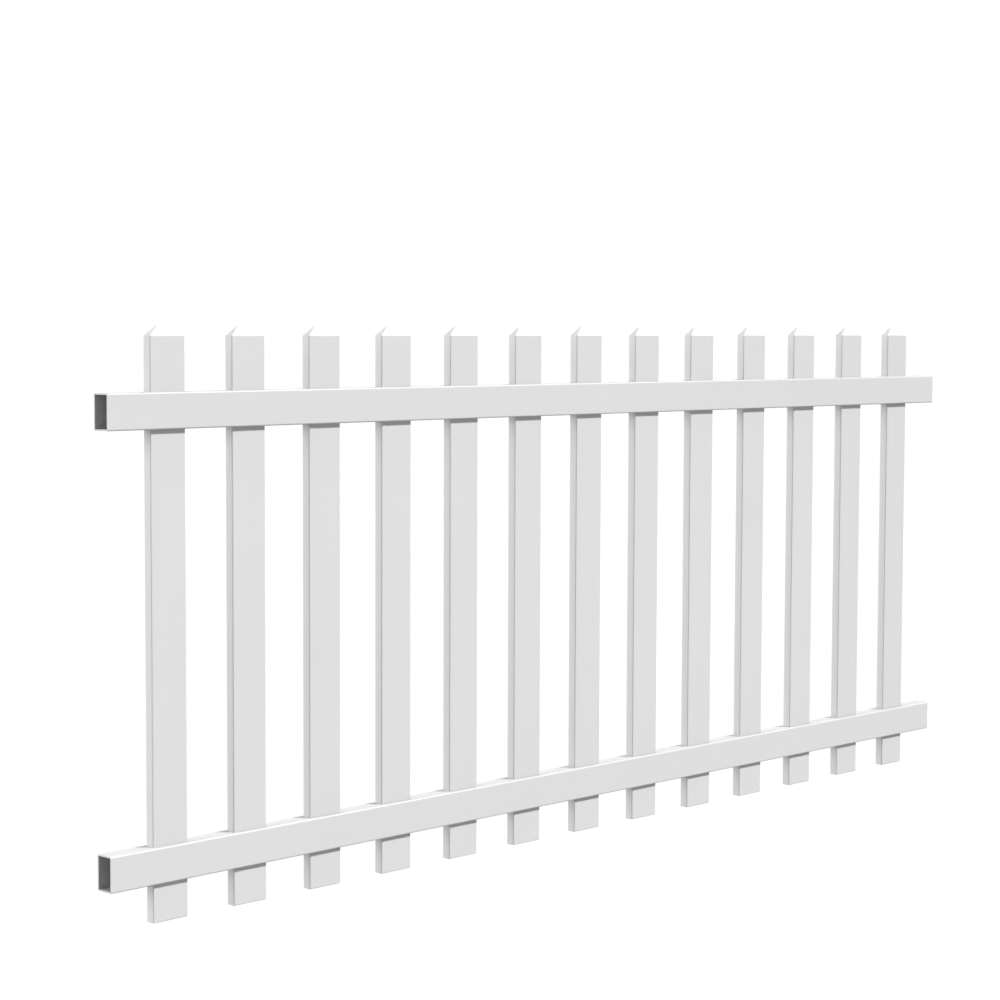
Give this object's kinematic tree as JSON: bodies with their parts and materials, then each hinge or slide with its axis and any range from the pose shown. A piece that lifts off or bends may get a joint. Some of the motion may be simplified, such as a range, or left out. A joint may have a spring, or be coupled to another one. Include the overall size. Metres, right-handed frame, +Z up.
{
  "type": "picket fence panel",
  "caption": "Straight white vinyl picket fence panel: hollow rails routed for flat hollow pickets, each with a hipped cap, to hang between two posts.",
  "frame": {"origin": "centre of the open left end of the bottom rail, which a post holds", "axes": "+X along the rails from left to right seen from the front, +Y from the front to the back of the panel, +Z up"},
  "size_m": [2.429, 0.0382, 1.0284],
  "materials": {
    "rail_vinyl": "satin",
    "picket_vinyl": "satin",
    "cap_vinyl": "satin"
  },
  "bodies": {
    "root": {"bottom_rail": "rail_vinyl", "top_rail": "rail_vinyl", "picket_01": "picket_vinyl", "picket_02": "picket_vinyl", "picket_03": "picket_vinyl", "picket_04": "picket_vinyl", "picket_05": "picket_vinyl", "picket_06": "picket_vinyl", "picket_07": "picket_vinyl", "picket_08": "picket_vinyl", "picket_09": "picket_vinyl", "picket_10": "picket_vinyl", "picket_11": "picket_vinyl", "picket_12": "picket_vinyl", "picket_13": "picket_vinyl", "picket_cap_01": "cap_vinyl", "picket_cap_02": "cap_vinyl", "picket_cap_03": "cap_vinyl", "picket_cap_04": "cap_vinyl", "picket_cap_05": "cap_vinyl", "picket_cap_06": "cap_vinyl", "picket_cap_07": "cap_vinyl", "picket_cap_08": "cap_vinyl", "picket_cap_09": "cap_vinyl", "picket_cap_10": "cap_vinyl", "picket_cap_11": "cap_vinyl", "picket_cap_12": "cap_vinyl", "picket_cap_13": "cap_vinyl"}
  },
  "joints": []
}
